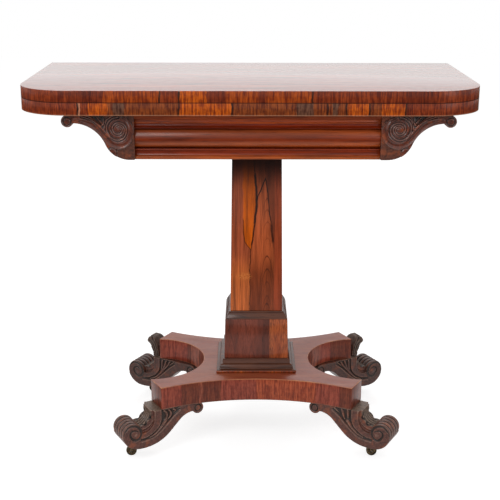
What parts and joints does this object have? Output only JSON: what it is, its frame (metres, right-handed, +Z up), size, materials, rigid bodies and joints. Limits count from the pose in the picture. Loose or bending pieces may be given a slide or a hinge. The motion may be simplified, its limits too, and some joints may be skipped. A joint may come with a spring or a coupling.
{
  "type": "card table",
  "caption": "Card table with a hinged, swivelling two-leaf top over a card well, a square tapered pillar, a hollow-sided platform and scroll feet on castors.",
  "frame": {"origin": "On the floor under the middle of the closed top's outline, hinge eyes included.", "axes": "+X to the sitter's right along the top's length, +Y to the back, +Z up; the table faces -Y."},
  "size_m": [0.88, 0.4437, 0.7672],
  "materials": {
    "rosewood": "french polished, glossy",
    "carved_rosewood": "carved, worn polish",
    "pine": "bare, aged",
    "baize": "felted",
    "brass": "aged, dull",
    "iron": "dark, plain"
  },
  "bodies": {
    "base": {"pivot_bearer": "pine", "frieze_front": "rosewood", "frieze_back": "rosewood", "frieze_end_left": "rosewood", "frieze_end_right": "rosewood", "well_floor": "pine", "floor_strips": "pine", "column_bearer": "pine", "bearer_screws": "iron", "glue_blocks": "pine", "cornice_moulding": "rosewood", "cushion_front": "rosewood", "cushion_back": "rosewood", "cushion_ends": "rosewood", "skirt_moulding": "rosewood", "bracket_front_left": "carved_rosewood", "bracket_front_right": "carved_rosewood", "bracket_rear_left": "carved_rosewood", "bracket_rear_right": "carved_rosewood", "column": "rosewood", "collar": "rosewood", "plinth_block": "rosewood", "plinth_moulding": "rosewood", "tenon_wedge": "pine", "platform": "rosewood", "foot_front_left": "carved_rosewood", "foot_front_right": "carved_rosewood", "foot_rear_left": "carved_rosewood", "foot_rear_right": "carved_rosewood", "foot_screws": "iron", "castor_plates": "brass", "castor_screws": "brass"},
    "swivel_leaf": {"lower_leaf": "rosewood", "lower_baize": "baize", "hinge_lower_left": "brass", "hinge_lower_right": "brass", "hinge_pins": "brass", "hinge_screws_lower": "brass", "pivot_plate": "iron", "pivot_screws": "iron", "pivot_washer": "iron", "pivot_nut": "iron", "swivel_stop": "brass"},
    "folding_leaf": {"upper_leaf": "rosewood", "upper_baize": "baize", "hinge_upper_left": "brass", "hinge_upper_right": "brass", "hinge_screws_upper": "brass"},
    "castor_front_left": {"fork_front_left": "brass", "axle_front_left": "iron"},
    "roller_front_left": {"wheel_front_left": "brass"},
    "castor_front_right": {"fork_front_right": "brass", "axle_front_right": "iron"},
    "roller_front_right": {"wheel_front_right": "brass"},
    "castor_rear_left": {"fork_rear_left": "brass", "axle_rear_left": "iron"},
    "roller_rear_left": {"wheel_rear_left": "brass"},
    "castor_rear_right": {"fork_rear_right": "brass", "axle_rear_right": "iron"},
    "roller_rear_right": {"wheel_rear_right": "brass"}
  },
  "joints": [
    {"name": "top_swivel", "type": "hinge", "parent": "base", "child": "swivel_leaf", "pos_m": [0.11707, 0.11707, 0.7212], "axis": [0, 0, 1], "range_deg": [0, 90]},
    {"name": "leaf_fold", "type": "hinge", "parent": "swivel_leaf", "child": "folding_leaf", "pos_m": [0, 0.22015, 0.7442], "axis": [-1, 0, 0], "range_deg": [0, 180]},
    {"name": "castor_swivel_front_left", "type": "hinge", "parent": "base", "child": "castor_front_left", "pos_m": [-0.23604, -0.16095, 0.026], "axis": [0, 0, 1], "continuous": true},
    {"name": "wheel_roll_front_left", "type": "hinge", "parent": "castor_front_left", "child": "roller_front_left", "pos_m": [-0.24604, -0.16095, 0.011], "axis": [0, 1, 0], "continuous": true},
    {"name": "castor_swivel_front_right", "type": "hinge", "parent": "base", "child": "castor_front_right", "pos_m": [0.26404, -0.16095, 0.026], "axis": [0, 0, 1], "continuous": true},
    {"name": "wheel_roll_front_right", "type": "hinge", "parent": "castor_front_right", "child": "roller_front_right", "pos_m": [0.25404, -0.16095, 0.011], "axis": [0, 1, 0], "continuous": true},
    {"name": "castor_swivel_rear_left", "type": "hinge", "parent": "base", "child": "castor_rear_left", "pos_m": [-0.23604, 0.16095, 0.026], "axis": [0, 0, 1], "continuous": true},
    {"name": "wheel_roll_rear_left", "type": "hinge", "parent": "castor_rear_left", "child": "roller_rear_left", "pos_m": [-0.22604, 0.16095, 0.011], "axis": [0, 1, 0], "continuous": true},
    {"name": "castor_swivel_rear_right", "type": "hinge", "parent": "base", "child": "castor_rear_right", "pos_m": [0.26404, 0.16095, 0.026], "axis": [0, 0, 1], "continuous": true},
    {"name": "wheel_roll_rear_right", "type": "hinge", "parent": "castor_rear_right", "child": "roller_rear_right", "pos_m": [0.25404, 0.16095, 0.011], "axis": [0, 1, 0], "continuous": true}
  ]
}
